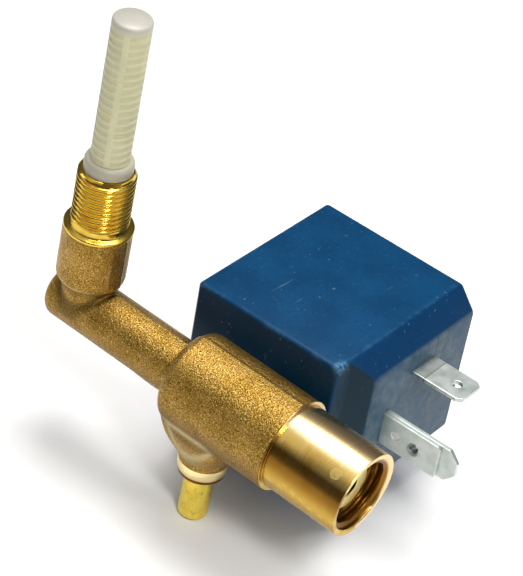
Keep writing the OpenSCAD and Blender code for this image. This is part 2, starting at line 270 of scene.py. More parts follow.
def grow(name, shape, finish, sizes, source=None):
    """Ends the tree of `shape`, runs it once on source and returns the plain mesh piece."""
    shape = shape.make("GeometryNodeRealizeInstances", {0: shape})
    shape = shape.make("GeometryNodeSetMaterial", {"Geometry": shape, "Material": finish})
    shape.tree.links.new(shape.socket, shape.tree.nodes.new("NodeGroupOutput").inputs[0])
    host = link_up(name + "_host", source or bpy.data.meshes.new(name), finish)
    modifier = host.modifiers.new("tree", "NODES")
    modifier.node_group = shape.tree
    for item in shape.tree.interface.items_tree:
        if item.name in sizes:
            modifier[item.identifier] = float(sizes[item.name])
    view = bpy.context.evaluated_depsgraph_get()
    mesh = bpy.data.meshes.new_from_object(host.evaluated_get(view))
    host.modifiers.remove(modifier)
    bpy.data.objects.remove(host)
    return link_up(name, mesh, finish)


def set_in_place(piece, body, matrix=Matrix(), replaced=(), sharp=32):
    """Turns a piece drawn in mm into its place in metres, shades it, and mounts it."""
    piece.data.transform(matrix @ Matrix.Diagonal((MM, MM, MM, 1)))
    cleaner = bmesh.new()
    cleaner.from_mesh(piece.data)
    bmesh.ops.remove_doubles(cleaner, verts=cleaner.verts, dist=1e-7)
    bmesh.ops.recalc_face_normals(cleaner, faces=cleaner.faces)
    cleaner.to_mesh(piece.data)
    cleaner.free()
    piece.data.shade_smooth()
    piece.data.set_sharp_from_angle(angle=math.radians(sharp))
    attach(piece, body)
    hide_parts(*replaced)
    return piece


def hypotenuse(a, b):
    return (a * a + b * b).math("SQRT", a * a + b * b)


def round_bar(across, along, radius, low, high, rounding=0.0):
    """Signed distance in mm to a round bar from low to high, whose ends are rounded."""
    side = across - (radius - rounding)
    end = abs(along - (low + high) / 2) - ((high - low) / 2 - rounding)
    return hypotenuse(side.top(0), end.top(0)) + side.top(end).low(0) - rounding


def melt(a, b, reach):
    """The union of two distances, with a fillet in the crease."""
    return a.math("SMOOTH_MIN", a, b, reach)


def carve(a, hole):
    return a.top(hole * -1)


tree, (_, arm_r, boss_r, chamber_r, fin, offset, voxel) = new_tree(
    "forging", "Arm radius", "Boss radius", "Chamber radius", "Parting fin", "Die offset",
    "Voxel")
place = Wire(tree).make("GeometryNodeInputPosition")
x, y, z = place.axes()
from_inlet = hypotenuse(x, y)
from_arm = hypotenuse(y, z - AXIS_Z)
from_seat = hypotenuse(x - SEAT_X, z - SEAT_Z)
from_spigot = hypotenuse(x - SEAT_X, y)

arm = round_bar(from_arm, x, arm_r, ARM_END, 26, 1.8)
inlet_boss = round_bar(from_inlet, z, boss_r, BOSS_BOTTOM, 6, 1.0)
neck = round_bar(from_inlet, z, NECK_R, AXIS_Z, -8)
chamber = round_bar(from_arm, x, chamber_r, CHAMBER_START, 60, 2.0)
coil_boss = round_bar(from_seat, y, chamber_r, -5.5, 14, 3.0)
taper = (z + 29.2).top(0) * 0.46 + 4.42
cone = ((from_spigot - taper) * 0.9).top(z - SEAT_Z).top(CONE_END - z)
cone = cone.math("SMOOTH_MAX", cone, abs(y) - 7.0, 1.2)
solid = melt(melt(arm, neck, 0.35), inlet_boss, 0.2)
belly = melt(chamber, coil_boss, 0.6)
solid = melt(solid, melt(belly, cone, 0.35), 1.3)


def ridge(distance, width):
    """A soft ridge of height 1 where the distance is 0."""
    distance = distance / width
    return distance.math("EXPONENT", distance * distance * -1)


parting = ridge(y - 0.7, 0.24) * z.step(-18, -16)
solid = solid - fin * parting + offset * y.step(0.6, 0.9)
FLASH = math.radians(-23)              # the flash mark's angle on the inlet boss
seam = ridge(x * math.sin(-FLASH) + y * math.cos(FLASH), 0.2) * x.step(0, 1)
seam = seam * z.step(-9.8, -9.2) * (1 - z.step(-5.0, -4.4)) * (1 - y.step(1, 2))
rib = ridge(belly - cone, 0.42) * (1 - z.step(-20.6, -19.4)) * (1 - y.step(-3, 0))
solid = solid - seam * fin * 1.2 - rib * 0.16
# Painted shade: darker in the crease between the arm and the neck, and on the neck under the
# inlet boss.
shadowed = (1 - abs(arm - neck).step(0.2, 1.2)) * (1 - abs(from_arm - 5.2).step(0.2, 0.9))
under_boss = (1 - z.step(-11.6, -11.0)) * z.step(-14, -11.4) * (1 - from_inlet.step(5.1, 5.6))
# A painted highlight along the lower edge of the inlet boss.
boss_edge = (1 - abs(z + 10.55).step(0.1, 0.5)) * from_inlet.step(5.1, 5.5)
# Pale marks: the trimmed flash along the seam and the parting line, and painted highlights along
# the rib and the boss's lower edge.
trims_and_highlights = rib.top(seam).top(boss_edge * (1 - from_inlet.step(6.2, 7)) * 0.8)
trims_and_highlights = trims_and_highlights.top(parting * 0.12)
crease_shade = shadowed.top(under_boss * 0.7).low(1) * (1 - x.step(8, 12))

# the machined faces, the stepped bore for the tube's base, the seat's lip, and the passages
solid = solid.top(z - SHOULDER_Z).top(x - PORT_START)
for radius, low, high in ((8.4, 7.4, 20), (5.45, -0.6, 9), (6.05, 2.4, 9), (7.0, 6.6, 9)):
    solid = carve(solid, round_bar(from_seat, y, radius, low, high))
lip = round_bar(from_seat, y, 2.0, -1, 1.1)
from_passage = hypotenuse(y + 1.5, z - AXIS_Z)
holes = [(from_seat, y, 1.0, -4.4, 3), (from_inlet, z, 2.6, -4, 4),
         (from_inlet, z, PASSAGE_R, -18, 4), (from_passage, x, PASSAGE_R, 0, 21.5),
         (from_arm, x, BORE_R, 33.1, 60), (from_spigot, z, SPIGOT_BORE_R, -34, -24),
         (from_spigot, z, SPIGOT_PRESS_R + 0.05, -34, -27.5)]
solid = solid.low(lip)
for hole in holes:
    solid = carve(solid, round_bar(*hole))

# the solid's skin is where the density passes one half, 2 mm of ramp across it
LOW, HIGH = Vector((-7.2, -9.0, -32.4)), Vector((45.6, 9.6, 0.6))
density = (0.5 - solid * 0.5).top(0).low(1)
counts = {axis: (HIGH[i] - LOW[i]) / voxel for i, axis in enumerate("XYZ")}
block = density.make("GeometryNodeVolumeCube", {
    "Density": density, "Min": LOW, "Max": HIGH,
    **{f"Resolution {axis}": count for axis, count in counts.items()}})
skin = block.make("GeometryNodeVolumeToMesh", {"Volume": block, "Threshold": 0.5})
grain = place.noise(2.2, 2.0) - 0.5
normal = place.make("GeometryNodeInputNormal")
push = normal.make("ShaderNodeVectorMath", {0: normal, "Scale": grain * 0.07},
                   operation="SCALE")
skin = skin.make("GeometryNodeSetPosition", {"Geometry": skin, "Offset": push})


def stamp(shape, name, value):
    """Stores a value at each point of the mesh, for its material to read."""
    return shape.make("GeometryNodeStoreNamedAttribute",
                      {"Geometry": shape, "Name": name, "Value": value}, data_type="FLOAT")


skin = stamp(stamp(skin, "trims_and_highlights", trims_and_highlights), "crease_shade", crease_shade)

forged_brass, place = new_finish("forged_brass")
x, y, z = place.axes()
patches, pits = place.noise(260, 4.0), place.noise(4300, 2.0, 0.7)
blasted = place.noise(1500, 3.0, 0.6)
tone = patches.step(0.3, 0.7).mix((0.31, 0.175, 0.020), (0.45, 0.265, 0.052))
tone = pits.step(0.52, 0.74).mix(tone, (0.80, 0.58, 0.24))
tone = (1 - pits.step(0.30, 0.50)).mix(tone, (0.080, 0.036, 0.006))
# Painted shade: the forging is darker below the arm's axis, in a band along the arm and all the
# way down at the chamber's right end.
lift = z * 1000 - AXIS_Z
under = (1 - lift.step(-5.0, 4.5)) * lift.step(-8.6, -6.0).top(x.step(0.0315, 0.037))
tone = (under * 0.55).mix(tone, (0.11, 0.056, 0.009))
trims_and_highlights = place.make("ShaderNodeAttribute", {}, "Fac", attribute_name="trims_and_highlights")
crease_shade = place.make("ShaderNodeAttribute", {}, "Fac", attribute_name="crease_shade")
# the painted shade in the crease and under the boss
tone = (crease_shade * 0.75).mix(tone, (0.085, 0.048, 0.010))
# the pale trims, and the painted highlights on the rib and the boss's edge
tone = (trims_and_highlights * 0.65).mix(tone, (0.58, 0.50, 0.28))
coat(place, {"Metallic": 1.0}, [(pits * (1 - trims_and_highlights * 0.7), 0.75, 0.16), (blasted, 0.5, 0.22)],
     Base_Color=tone, Roughness=blasted * 0.22 + 0.31)
forging = grow("body_forging", skin, forged_brass, {
    "Arm radius": 4.85, "Boss radius": 5.85, "Chamber radius": 8.3, "Parting fin": 0.12,
    "Die offset": 0.10, "Voxel": 0.26})
set_in_place(forging, "housing", replaced=["valve_body"], sharp=40)


# ---- Inlet nipple ----
# The boss is turned down to a flat shoulder and a straight nipple with a 1/8 inch pipe thread.
# The cut brass is bright yellow, and the thread is polished by its die.
NIPPLE_R, NIPPLE_LEN, NIPPLE_PITCH = 4.864, 11.0, 0.907


def rows(radius, low, high, pitch):
    """Profile points up a thread's crest, close enough together to carry its grooves."""
    count = round((high - low) / pitch * 11)
    return [(radius, low + (high - low) * i / count) for i in range(count + 1)]


def lathe(name, profile, around=120):
    """A turned shape about +Z from a closed loop of (radius, height) in mm."""
    shape = bmesh.new()
    loops = []
    for i in range(around):
        angle = 2 * math.pi * i / around
        loops.append([shape.verts.new((r * math.cos(angle), r * math.sin(angle), h))
                      for r, h in profile])
    for i in range(around):
        here, there = loops[i], loops[(i + 1) % around]
        for j in range(len(profile)):
            k = (j + 1) % len(profile)
            if profile[j][0] > 0 or profile[k][0] > 0:
                shape.faces.new((here[j], there[j], there[k], here[k]))
    bmesh.ops.remove_doubles(shape, verts=shape.verts, dist=1e-5)
    bmesh.ops.recalc_face_normals(shape, faces=shape.faces)
    mesh = bpy.data.meshes.new(name)
    shape.to_mesh(mesh)
    shape.free()
    return mesh


def thread(name, mesh, finish, **sizes):
    """Cuts a helical groove into a lathe mesh, from its crest by Depth, + for inwards."""
    names = ("Crest", "Pitch", "Depth", "Low", "High", "Land")
    tree, (mesh_in, crest, pitch, depth, low, high, land) = new_tree("thread_of_" + name, *names)
    place = Wire(tree).make("GeometryNodeInputPosition")
    x, y, z = place.axes()
    radius = hypotenuse(x, y)
    phase = z / pitch - y.math("ARCTAN2", y, x) / (2 * math.pi)
    rise = abs(phase.math("FRACT", phase) - 0.5) * 2
    groove = ((1 - land - rise) / (0.92 - land)).step(0, 1)
    ends = ((z - low) / pitch * 2).top(0).low(1) * ((high - z) / pitch * 2).top(0).low(1)
    on_crest = 1 - abs(radius - crest).step(0.02, 0.03)
    scale = 1 - depth * groove * ends * on_crest / radius
    moved = place.make("ShaderNodeCombineXYZ", {0: x * scale, 1: y * scale, 2: z})
    shape = mesh_in.make("GeometryNodeSetPosition", {"Geometry": mesh_in, "Position": moved})
    return grow(name, shape, finish, sizes, mesh)


polished_brass, place = new_finish("polished_brass")
stain = place.noise(420, 3.0)
turning = place.stretch(0.06, 0.06, 1).noise(9000, 2.0)
coat(place, {"Metallic": 1.0}, [(turning, 0.12, 0.03)],
     Base_Color=stain.step(0.42, 0.75).mix((0.76, 0.52, 0.08), (0.60, 0.35, 0.045)),
     Roughness=turning * 0.10 + 0.13)
profile = [(2.6, -1.5), (5.0, -1.5), (5.0, -0.62), (5.78, -0.62), (5.85, -0.55), (5.85, -0.12),
           (5.72, 0), (4.95, 0), (NIPPLE_R, 0.08)]    # the shoulder, then the undercut
profile += rows(NIPPLE_R, 1.1, 10.4, NIPPLE_PITCH)
profile += [(4.3, NIPPLE_LEN), (3.3, NIPPLE_LEN), (3.3, 8), (2.6, 8)]
nipple = thread("inlet_nipple", lathe("inlet_nipple", profile, 144), polished_brass,
                Crest=NIPPLE_R, Pitch=NIPPLE_PITCH, Depth=0.52, Low=1.3, High=10.7, Land=0.12)
set_in_place(nipple, "housing", sharp=66)


# ---- Female port end ----
# The chamber's right end is turned to a smooth drum, which leaves a thin bright shoulder, and
# is bored and tapped 1/4 inch pipe. The turning leaves fine rings, and a satin sheen.
PORT_R, PORT_END, PORT_CREST, PORT_PITCH = 7.55, 59.4, 5.7225, 1.337
INSERT_R, INSERT_BACK, INSERT_FACE = 5.5, 54.4, 56.0
ALONG_X = Matrix.Translation((0, 0, AXIS_Z * MM)) @ Matrix.Rotation(math.pi / 2, 4, "Y")
ALONG_X = ALONG_X @ Matrix.Rotation(math.pi, 4, "Z")
satin_brass, place = new_finish("satin_brass")
x, y, z = place.axes()
rings = place.stretch(1, 0.03, 0.03).noise(7000, 3.0, 0.7)
wide_rings = place.stretch(1, 0.02, 0.02).noise(1400, 2.0)
smears = place.stretch(1, 0.6, 0.6).noise(300, 4.0)
tone = smears.step(0.35, 0.7).mix((0.84, 0.58, 0.17), (0.68, 0.42, 0.09))
tone = wide_rings.step(0.5, 0.75).mix(tone, (0.88, 0.64, 0.24))
from_axis = hypotenuse(y, z - AXIS_Z * MM) * 1000
lean = (z - AXIS_Z * MM).math("ARCTAN2", y * -1, z - AXIS_Z * MM)
# Painted reflection: a dark brown band low on the drum's front, and the drum darker past it.
dark_reflection_band = lean.step(0.86, 1.0) * (1 - lean.step(1.30, 1.75)) * (smears * 0.3 + 0.8).low(1)
tone = lean.step(1.0, 1.3).mix(tone, (0.50, 0.31, 0.055))
tone = (dark_reflection_band * 0.9).mix(tone, (0.20, 0.085, 0.010))
blotch = place.noise(700, 4.0).step(0.5, 0.62) * lean.step(1.5, 1.8)
tone = (blotch * 0.5).mix(tone, (0.66, 0.50, 0.10))
# Painted highlight: the top of the drum is paler.
tone = ((1 - lean.step(0.45, 0.65)) * 0.6).mix(tone, (0.76, 0.59, 0.37))
# Painted shade: the mouth and thread inside the port are darker, and the passage bore is near
# black.
inside = (1 - from_axis.step(6.55, 6.8)) * (1 - x.step(0.0590, 0.0593))
tone = inside.mix(tone, (0.22, 0.10, 0.013))
tone = (1 - from_axis.step(3.3, 3.4)).mix(tone, (0.012, 0.008, 0.003))
coat(place, {"Metallic": 1.0}, [(rings, 0.16, 0.04)],
     Base_Color=tone, Roughness=rings * 0.10 + smears * 0.08 + inside * 0.12 + 0.17)
profile = [(BORE_R, PORT_START), (BORE_R, INSERT_BACK), (INSERT_R, INSERT_BACK),
           (INSERT_R, INSERT_FACE), (PORT_CREST, INSERT_FACE)]
profile += rows(PORT_CREST, 56.05, 58.82, PORT_PITCH)
profile += [(6.5, 59.22), (6.72, PORT_END - 0.04), (6.80, PORT_END), (7.38, PORT_END),
            (7.50, 59.36), (PORT_R, 59.24), (PORT_R, 45.0), (7.62, 44.93), (8.22, 44.93),
            (8.28, 44.87), (8.28, PORT_START)]
port = thread("port_end", lathe("port_end", profile, 160), satin_brass, Crest=PORT_CREST,
              Pitch=PORT_PITCH, Depth=-0.82, Low=56.1, High=59.4, Land=0.14)
set_in_place(port, "housing", ALONG_X, sharp=40)


# ---- Port insert and staking pin ----
# A brass disc with a raised middle and a small hole is pressed in under the port's thread. A
# small brass pin, pressed into the drum's side and turned flush with it, keeps the disc in.
INSERT_HOLE_R, INSERT_HUB_R = 1.6, 4.1
bore_brass, place = new_finish("bore_brass")
x, y, z = place.axes()
spin = place.stretch(0.05, 1, 1).noise(900, 3.0)
tone = spin.step(0.35, 0.7).mix((0.76, 0.60, 0.22), (0.88, 0.72, 0.32))
from_axis = hypotenuse(y, z - AXIS_Z * MM)
# Painted shade: the wall of the disc's hole is near black.
bored = 1 - from_axis.step(INSERT_HOLE_R * MM, (INSERT_HOLE_R + 0.05) * MM)
coat(place, {"Metallic": 1.0}, [(spin, 0.2, 0.05)],
     Base_Color=bored.mix(tone, (0.012, 0.008, 0.003)), Roughness=spin * 0.2 + 0.3)
insert = lathe("insert_disc", [
    (INSERT_HOLE_R, INSERT_BACK + 0.02), (INSERT_R - 0.02, INSERT_BACK + 0.02),
    (INSERT_R - 0.02, 55.9), (INSERT_R - 0.12, INSERT_FACE), (INSERT_HUB_R, INSERT_FACE),
    (INSERT_HUB_R - 0.05, 56.75), (INSERT_HUB_R - 0.2, 56.9), (INSERT_HOLE_R + 0.15, 56.9),
    (INSERT_HOLE_R, 56.75)], 96)
set_in_place(link_up("insert_disc", insert, bore_brass), "housing", ALONG_X,
             ["port_insert"])

pin_brass, place = new_finish("pin_brass")
dull = place.noise(1800, 3.0)
coat(place, {"Metallic": 1.0}, [(dull, 0.2, 0.03)],
     Base_Color=dull.step(0.35, 0.7).mix((0.74, 0.54, 0.17), (0.84, 0.62, 0.22)),
     Roughness=dull * 0.15 + 0.22)
PIN_R, PIN_PROUD, PIN_X, PIN_TURN = 1.02, 0.045, 56.3, math.radians(41)
pin = lathe("staking_pin_head", [(0, 6.6), (0, PORT_R + PIN_PROUD)]
            + [(PIN_R * i / 8 - 0.06, PORT_R + PIN_PROUD) for i in range(2, 9)]
            + [(PIN_R, PORT_R + PIN_PROUD - 0.05), (PIN_R, 6.6)], 48)
for corner in pin.vertices:
    corner.co.z -= (PORT_R - math.sqrt(PORT_R ** 2 - corner.co.y ** 2)) * (corner.co.z > 7)
pin = link_up("staking_pin_head", pin, pin_brass)
set_in_place(pin, "housing",
             Matrix.Translation((PIN_X * MM, 0, AXIS_Z * MM)) @ Matrix.Rotation(PIN_TURN, 4, "X"),
             ["staking_pin"])


# ---- Outlet spigot ----
# A turned brass stub with a chamfered ring, pressed up into the body's cone. It is bright
# yellow with faint stains, and a hose pushes over its rounded tip.
stub_brass, place = new_finish("stub_brass")
stain = place.noise(700, 4.0)
lines = place.stretch(0.05, 0.05, 1).noise(8000, 2.0)
height = place.axes()[2] * 1000
tone = stain.step(0.4, 0.62).mix((1.0, 0.80, 0.14), (0.95, 0.70, 0.10))
blots = place.noise(900, 5.0, 0.7).step(0.54, 0.66) + place.noise(2600, 2.0).step(0.66, 0.70)
tone = (blots.low(1) * 0.45).mix(tone, (0.42, 0.28, 0.05))
# Painted highlight on the ring's upper band, and painted shade on its chamfered underside.
tone = height.step(-32.9, -32.75).mix(tone, (1.0, 0.83, 0.42))
ring_underside_shade = (1 - height.step(-32.9, -32.75)) * height.step(-33.66, -33.6)
tone = ring_underside_shade.mix(tone, (0.20, 0.065, 0.006))
coat(place, {"Metallic": 1.0}, [(lines, 0.15, 0.03)],
     Base_Color=tone, Roughness=lines * 0.12 + 0.28)
SPIGOT_R, SPIGOT_TIP, TIP_ROUND = 2.6, AXIS_Z - 26.4, 0.6
profile = [(SPIGOT_BORE_R, SPIGOT_TIP + 0.2), (1.85, SPIGOT_TIP), (2.0, SPIGOT_TIP)]
profile += [(SPIGOT_R - TIP_ROUND * (1 - math.sin(a)), SPIGOT_TIP + TIP_ROUND * (1 - math.cos(a)))
            for a in (math.radians(d) for d in (30, 60, 90))]
profile += [(SPIGOT_R, -34.55), (2.66, -34.5), (2.66, -33.6), (3.8, -33.6), (4.02, -33.5),
            (4.1, -33.3), (4.1, -32.85), (4.2, -32.72), (4.35, -31.4), (4.3, CONE_END - 0.05),
            (4.2, CONE_END), (SPIGOT_PRESS_R, CONE_END), (SPIGOT_PRESS_R, -27.6),
            (SPIGOT_BORE_R, -27.6)]
spigot = link_up("outlet_stub", lathe("outlet_stub", profile, 96), stub_brass)
set_in_place(spigot, "housing", Matrix.Translation((SEAT_X * MM, 0, 0)),
             ["outlet_spigot"])


# ---- Inlet strainer ----
# A translucent nylon sleeve with a closed, rounded top, moulded over a fine mesh. Four flat
# bars run up it, and between them shallow windows leave a rib every 1.4 mm. Its collar
# sits on the nipple's mouth and its skirt is pushed into the bore.
STRAINER_R, STRAINER_TOP, RIB_PITCH = 3.25, 39.6, 1.4
SKIRT_BOTTOM, COLLAR_TOP, BAR_ANGLE = 8.0, 13.2, math.radians(62)
SKIRT_BORE_R, SLEEVE_BORE_R, CROWN_ROUND = 2.55, 2.82, 0.6
nylon, place = new_finish("natural_nylon")
x, y, z = place.axes()
cloud, weave = place.noise(330, 3.0), place.noise(5200, 1.0)
top_end = z.step(0.0376, 0.0392) + 1 - z.step(0.0128, 0.0136)
tone = cloud.step(0.3, 0.7).mix((0.55, 0.53, 0.33), (0.61, 0.585, 0.38))
tone = top_end.low(1).mix(tone, (0.47, 0.455, 0.38))
tone = z.step(0.0388, 0.0394).mix(tone, (0.41, 0.395, 0.345))
tone = (1 - z.step(0.0128, 0.0136)).mix(tone, (0.38, 0.36, 0.28))
window = place.make("ShaderNodeAttribute", {}, "Fac", attribute_name="window")
tone = (window * 0.25).mix(tone, (0.42, 0.39, 0.19))
coat(place, {"Specular IOR Level": 0.45, "Subsurface Weight": 0.3, "IOR": 1.5,
             "Subsurface Radius": (1.0, 0.95, 0.6), "Subsurface Scale": 0.0006},
     [(weave * window, 0.25, 0.06)], Base_Color=tone, Roughness=cloud * 0.15 + 0.26)
collar = [(SKIRT_BORE_R, SKIRT_BOTTOM), (3.22, SKIRT_BOTTOM), (3.25, 8.05), (3.25, NIPPLE_LEN),
          (3.9, NIPPLE_LEN), (4.1, 11.2), (4.1, 12.5), (3.98, 12.9), (3.7, 13.12),
          (STRAINER_R, COLLAR_TOP)]
ribbed = [(STRAINER_R, 13.3 + i * (38.6 - 13.3) / 216) for i in range(217)]
crown = [(STRAINER_R - CROWN_ROUND * (1 - math.cos(a)),
          STRAINER_TOP - CROWN_ROUND * (1 - math.sin(a)))
         for a in (math.radians(d) for d in (0, 22, 45, 68, 90))]
inside = [(0, STRAINER_TOP), (0, 38.4), (SLEEVE_BORE_R, 38.4), (SLEEVE_BORE_R, COLLAR_TOP),
          (SKIRT_BORE_R, COLLAR_TOP)]
tree, (mesh_in, pitch, depth, bar) = new_tree("strainer_windows", "Pitch", "Depth", "Bar")
place = Wire(tree).make("GeometryNodeInputPosition")
x, y, z = place.axes()
radius = hypotenuse(x, y)
turned = y.math("ARCTAN2", y, x) + BAR_ANGLE
quarter = turned / (math.pi / 2)
arc = abs(quarter.math("FRACT", quarter) - 0.5) * math.pi / 2
beside = (math.pi / 4 - arc) * STRAINER_R
phase = (z - COLLAR_TOP) / pitch
phase = phase.math("FRACT", phase)
window = (0.34 - abs(phase - 0.5)).step(0, 0.1) * (beside - bar / 2).step(0, 0.25)
window = window * z.step(13.5, 13.7) * (1 - z.step(38.0, 38.2)) * (radius - 3.1).step(0, 0.05)
scale = 1 - window * depth / radius
moved = place.make("ShaderNodeCombineXYZ", {0: x * scale, 1: y * scale, 2: z})
shape = stamp(mesh_in, "window", window)
shape = mesh_in.make("GeometryNodeSetPosition", {"Geometry": shape, "Position": moved})
sleeve = grow("strainer_sleeve", shape, nylon, {"Pitch": RIB_PITCH, "Depth": 0.14, "Bar": 0.8},
              lathe("strainer_sleeve", collar + ribbed + crown[:-1] + inside, 128))
set_in_place(sleeve, "housing", replaced=["inlet_strainer_frame"], sharp=60)

mesh_nylon, place = new_finish("woven_nylon")
x, y, z = place.axes()
around = y.math("ARCTAN2", y, x) * 2.8
threads = (around * 12).math("SINE", around * 12) * (z * 12000).math("SINE", z * 12000)
coat(place, {"Specular IOR Level": 0.3}, [(threads, 0.5, 0.1)],
     Base_Color=threads.step(-0.4, 0.6).mix((0.40, 0.37, 0.24), (0.56, 0.53, 0.38)),
     Roughness=threads * 0.1 + 0.55)
nodes["inlet_strainer_mesh"].data.materials.clear()
nodes["inlet_strainer_mesh"].data.materials.append(mesh_nylon)


# ---- Coil moulding ----
# The winding and its steel yoke are potted in a blue glass-filled moulding: a block with
# softly rounded edges, a stepped front corner and a sloping top corner over its terminals.
# Handling has scuffed it, and its edges have gone pale. It sits 2.1 degrees off level.
COIL_TURN = math.radians(-2.1)
ON_COIL = (Matrix.Translation((SEAT_X * MM, 0, SEAT_Z * MM))
           @ Matrix.Rotation(COIL_TURN, 4, "Y"))
LEFT, STEP, RIGHT, FRONT, REAR, HALF = -13.3, 16.1, 19.5, 8.8, 43.4, 14.75
STEP_DEPTH, STEP_REACH, SLOPE_DROP, EDGE_ROUNDING = 3, 7.1, 4.1, 0.75
OUTLINE = [(LEFT, FRONT), (STEP, FRONT), (STEP, FRONT + STEP_DEPTH),
           (RIGHT, FRONT + STEP_REACH), (RIGHT, REAR), (LEFT, REAR)]
shape = bmesh.new()
floor_face = shape.faces.new([shape.verts.new((px, py, -HALF)) for px, py in OUTLINE])
raised = bmesh.ops.extrude_face_region(shape, geom=[floor_face])["geom"]
bmesh.ops.translate(shape, vec=(0, 0, 2 * HALF),
                    verts=[v for v in raised if isinstance(v, bmesh.types.BMVert)])
cut = bmesh.ops.bisect_plane(
    shape, geom=shape.verts[:] + shape.edges[:] + shape.faces[:], dist=1e-4,
    plane_co=(STEP + 0.01, 0, HALF), plane_no=(SLOPE_DROP, 0, RIGHT - STEP), clear_outer=True)
rim = [e for e in cut["geom_cut"] if isinstance(e, bmesh.types.BMEdge)]
bmesh.ops.contextual_create(shape, geom=rim)
bmesh.ops.remove_doubles(shape, verts=shape.verts, dist=0.05)
bmesh.ops.recalc_face_normals(shape, faces=shape.faces)
bmesh.ops.bevel(shape, geom=shape.edges[:], offset=EDGE_ROUNDING, segments=4, profile=0.5,
                affect="EDGES", clamp_overlap=True)
coil_mesh = bpy.data.meshes.new("coil_moulding")
shape.to_mesh(coil_mesh)
shape.free()

blue_moulding, place = new_finish("blue_moulding")
local = place.make("ShaderNodeMapping", {0: place, 1: (-SEAT_X * MM, 0, -SEAT_Z * MM)},
                   vector_type="POINT")
local = local.make("ShaderNodeMapping", {0: local, 2: (0, -COIL_TURN, 0),
                                         3: (1000, 1000, 1000)})
x, y, z = local.axes()
slope = (RIGHT - x) * 0.77 + (HALF - SLOPE_DROP - z) * 0.64    # mm in from the sloping corner
sides = [RIGHT - x, HALF - z, x - LEFT, z + HALF, y - FRONT, REAR - y, slope]
depths = [abs(side) for side in sides]
nearest, second = depths[0], depths[0] + 100    # an edge is where two faces are near
for side in depths[1:]:
    second = nearest.top(side).low(second)
    nearest = nearest.low(side)
worn = place.noise(500, 3.0)
rubbed = (1 - second.step(0.15, 0.95)) * worn.step(0.42, 0.66)
on_slope = 1 - abs(slope).step(0.1, 0.35)
on_step = (y - FRONT).step(-2, 0) * (1 - (y - FRONT).step(6.5, 7.3)) * x.step(15.9, 16.2)
on_front = 1 - abs(y - FRONT).step(0.05, 0.3)
specks = place.noise(1300, 2.0).step(0.70, 0.76) + place.noise(3200, 1.0).step(0.76, 0.80)
worn_corner = hypotenuse(hypotenuse(x - STEP, y - FRONT - 1.2), z - HALF)
worn_corner = (1 - worn_corner.step(0.6, 2.2)) * place.noise(1500, 3.0).step(0.35, 0.6)
scratches = place.stretch(1, 0.08, 0.25).noise(1100, 2.0).step(0.70, 0.78)
upright = place.stretch(1, 1, 0.09).noise(900, 3.0)
end_face = x.step(RIGHT - 0.4, RIGHT - 0.1)
cloud = place.noise(120, 4.0)
fine = place.noise(6000, 2.0)
mottle = place.noise(1500, 4.0, 0.7)
tone = cloud.step(0.3, 0.7).mix((0.001, 0.036, 0.100), (0.002, 0.048, 0.128))
tone = (mottle.step(0.55, 0.72) * 0.3).mix(tone, (0.008, 0.085, 0.185))
tone = ((1 - mottle.step(0.3, 0.45)) * 0.4).mix(tone, (0.0005, 0.018, 0.055))
# Painted shade: the sloping corner, the front face and the stepped corner are darker.
tone = (on_slope * 0.75).mix(tone, (0.0005, 0.024, 0.080))
tone = (on_front * 0.6).mix(tone, (0.002, 0.012, 0.024))
tone = (on_step * (1 - on_slope) * 0.9).mix(tone, (0.002, 0.018, 0.030))
scuffed = upright.step(0.25, 0.8) * 0.25 + place.noise(600, 5.0, 0.7).step(0.35, 0.7) * 0.55
scuffed = scuffed * place.noise(160, 2.0).step(0.25, 0.6)
mould_line = (1 - abs(y - 32.9).step(0.05, 0.16)) * z.step(6.4, 6.7) * x.step(19.2, 19.4)
# The end face is paler all over, and paler still where it is scuffed.
tone = (end_face * (scuffed + 0.30).low(1)).mix(tone, (0.090, 0.135, 0.158))
tone = (mould_line * 0.85).mix(tone, (0.001, 0.006, 0.014))
tone = (rubbed * (1 - on_slope) * 0.12).top(worn_corner * 0.6).mix(tone, (0.10, 0.24, 0.36))
tone = ((specks + scratches * 0.5) * 0.32).low(1).mix(tone, (0.22, 0.32, 0.40))
coat(place, {"Specular IOR Level": 0.15, "IOR": 1.48},
     [(fine, 0.22, 0.05), (upright, 0.08, 0.1)], Base_Color=tone,
     Roughness=cloud * 0.10 + end_face * 0.06 + 0.36)

TUBE_HOLE_R, HOLLOW_R, HOLLOW_START, HOLLOW_END = 5.06, 11.25, 11.8, 40.4
bore = lathe("coil_bore", [
    (0, 0), (TUBE_HOLE_R, 0), (TUBE_HOLE_R, HOLLOW_START), (HOLLOW_R, HOLLOW_START),
    (HOLLOW_R, HOLLOW_END), (TUBE_HOLE_R, HOLLOW_END), (TUBE_HOLE_R, 60), (0, 60)], 96)
bore.transform(Matrix.Rotation(-math.pi / 2, 4, "X"))
cutter = link_up("coil_bore_cutter", bore, blue_moulding)
moulding = link_up("coil_moulding", coil_mesh, blue_moulding)
drill = moulding.modifiers.new("bore", "BOOLEAN")
drill.object, drill.operation, drill.solver = cutter, "DIFFERENCE", "EXACT"
view = bpy.context.evaluated_depsgraph_get()
bored = bpy.data.meshes.new_from_object(moulding.evaluated_get(view))
bpy.data.objects.remove(moulding)
bpy.data.objects.remove(cutter)
moulding = link_up("coil_moulding", bored, blue_moulding)
set_in_place(moulding, "coil", ON_COIL, ["coil_casing"], sharp=35)


